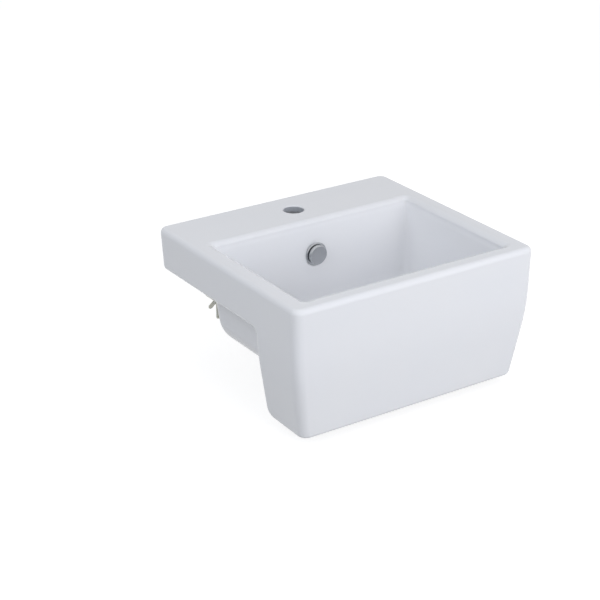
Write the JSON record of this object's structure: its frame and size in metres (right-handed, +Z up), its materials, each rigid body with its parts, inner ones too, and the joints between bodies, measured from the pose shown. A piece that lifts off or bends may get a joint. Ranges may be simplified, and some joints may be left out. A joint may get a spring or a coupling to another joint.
{
  "type": "semi recessed basin",
  "caption": "Rectangular semi recessed basin with a raised rim, deep front apron, tap hole, covered overflow, click waste and worktop clamps.",
  "frame": {"origin": "on the seat, the middle of the rear skirt's lower face, which stands on the worktop", "axes": "+X to the right, +Y to the back, +Z up"},
  "size_m": [0.4546, 0.4093, 0.238],
  "materials": {
    "vitreous_china": "white glaze, gloss",
    "chrome_plate": "polished chrome",
    "plated_brass": "chrome-plated brass",
    "zinc_steel": "zinc-plated",
    "spring_steel": "drawn stainless wire",
    "black_rubber": "moulded rubber",
    "grey_nylon": "moulded nylon",
    "white_acetal": "moulded acetal"
  },
  "bodies": {
    "basin": {"basin_body": "vitreous_china", "overflow_ring": "chrome_plate", "overflow_cover": "chrome_plate", "overflow_seal": "black_rubber", "waste_body": "plated_brass", "waste_gasket": "black_rubber", "cone_washer": "black_rubber", "friction_washer": "grey_nylon", "back_nut": "plated_brass", "click_housing": "white_acetal", "click_spring": "spring_steel", "click_end_cap": "white_acetal", "latch_pin": "spring_steel", "anchor_plugs": "grey_nylon", "fixing_studs": "zinc_steel"},
    "plug": {"plug_cap": "chrome_plate", "plug_seal": "black_rubber", "plug_stem": "plated_brass", "click_plunger": "white_acetal"},
    "left_clamp": {"left_clamp_plate": "zinc_steel", "left_clamp_pad": "black_rubber", "left_clamp_washer": "zinc_steel", "left_wing_nut": "zinc_steel"},
    "right_clamp": {"right_clamp_plate": "zinc_steel", "right_clamp_pad": "black_rubber", "right_clamp_washer": "zinc_steel", "right_wing_nut": "zinc_steel"}
  },
  "joints": [
    {"name": "plug_slide", "type": "slide", "parent": "basin", "child": "plug", "axis": [0, 0, 1], "range_m": [0, 0.01], "deforming": ["click_spring"]},
    {"name": "left_clamp_slide", "type": "slide", "parent": "basin", "child": "left_clamp", "axis": [0, 0, 1], "range_m": [-0.018, 0.02]},
    {"name": "right_clamp_slide", "type": "slide", "parent": "basin", "child": "right_clamp", "axis": [0, 0, 1], "range_m": [-0.018, 0.02]}
  ]
}
